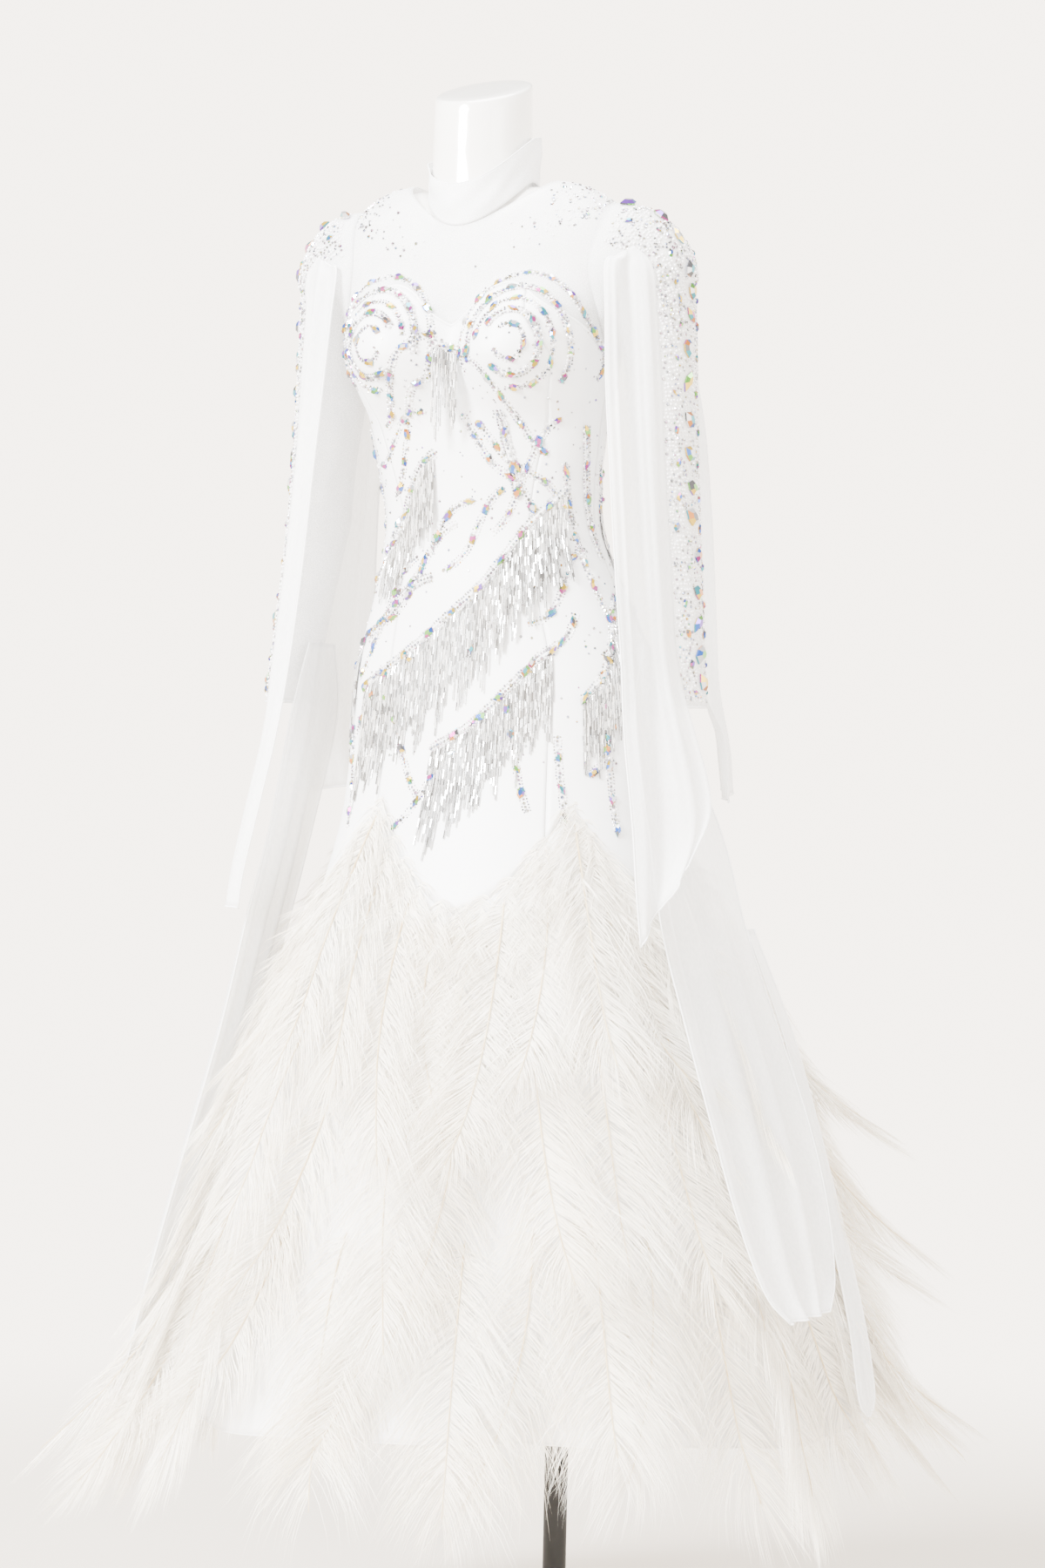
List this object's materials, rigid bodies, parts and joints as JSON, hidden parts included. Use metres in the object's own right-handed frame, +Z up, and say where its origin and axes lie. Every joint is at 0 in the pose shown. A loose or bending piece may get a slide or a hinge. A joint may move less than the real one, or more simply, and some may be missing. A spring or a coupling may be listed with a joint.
{
  "type": "ballroom dance dress on a limbless dress form with stand",
  "caption": "Floor-length ballroom gown with mesh yoke and hanging sleeves, chiffon floats, bead fringe and feathered skirt, worn by a limbless dress form on a pole stand.",
  "frame": {"origin": "centre of the stand base's underside, on the floor", "axes": "+Z up along the pole; -Y is the dress's front; +X is the wearer's left"},
  "size_m": [0.8419, 0.86, 1.7177],
  "materials": {
    "sheer_mesh": "sheer",
    "stretch_satin": "soft sheen",
    "chiffon": "sheer matte",
    "ostrich_plume": "downy",
    "bugle_beads": "silver-lined gloss",
    "crystal_stones": "faceted, iridescent",
    "ivory_shell": "high gloss",
    "black_enamel": "satin black",
    "white_nylon": "satin",
    "white_enamel": "gloss"
  },
  "bodies": {
    "dress": {"bodice_back_left": "stretch_satin", "bodice_back_right": "stretch_satin", "bodice_front": "stretch_satin", "bodice_side_left": "stretch_satin", "bodice_side_right": "stretch_satin", "collar": "sheer_mesh", "dress_form": "ivory_shell", "float_left_back": "chiffon", "float_left_front": "chiffon", "float_left_long": "chiffon", "float_left_strip": "chiffon", "float_right_back": "chiffon", "float_right_front": "chiffon", "float_right_long": "chiffon", "fringe_back_hip": "bugle_beads", "fringe_back_low": "bugle_beads", "fringe_back_upper": "bugle_beads", "fringe_back_waist": "bugle_beads", "fringe_breast": "bugle_beads", "fringe_far_hip": "bugle_beads", "fringe_far_waist": "bugle_beads", "fringe_great": "bugle_beads", "fringe_hip": "bugle_beads", "fringe_near_hip": "bugle_beads", "petticoat_inner": "chiffon", "petticoat_middle": "chiffon", "plume_tier_1": "ostrich_plume", "plume_tier_2": "ostrich_plume", "plume_tier_3": "ostrich_plume", "skirt_back": "stretch_satin", "skirt_front": "stretch_satin", "sleeve_left": "sheer_mesh", "sleeve_right": "sheer_mesh", "stand_base": "black_enamel", "stand_pole": "black_enamel", "stone_arc_left_1": "crystal_stones", "stone_arc_left_2": "crystal_stones", "stone_arc_right_1": "crystal_stones", "stone_arc_right_2": "crystal_stones", "stone_line_back_left": "crystal_stones", "stone_line_back_right": "crystal_stones", "stone_line_breast_left": "crystal_stones", "stone_line_side_left": "crystal_stones", "stone_line_side_right": "crystal_stones", "stone_line_waist_right": "crystal_stones", "yoke_back_left": "sheer_mesh", "yoke_back_right": "sheer_mesh", "yoke_front": "sheer_mesh", "zip_slider": "white_enamel", "zip_tape": "white_nylon"},
    "zip_pull": {"zip_pull": "white_enamel"}
  },
  "joints": [
    {"name": "zip_pull_hinge", "type": "hinge", "parent": "dress", "child": "zip_pull", "pos_m": [-0.09199, 0.02133, 1.56024], "axis": [1, 0, 0], "range_deg": [0, 150]}
  ]
}
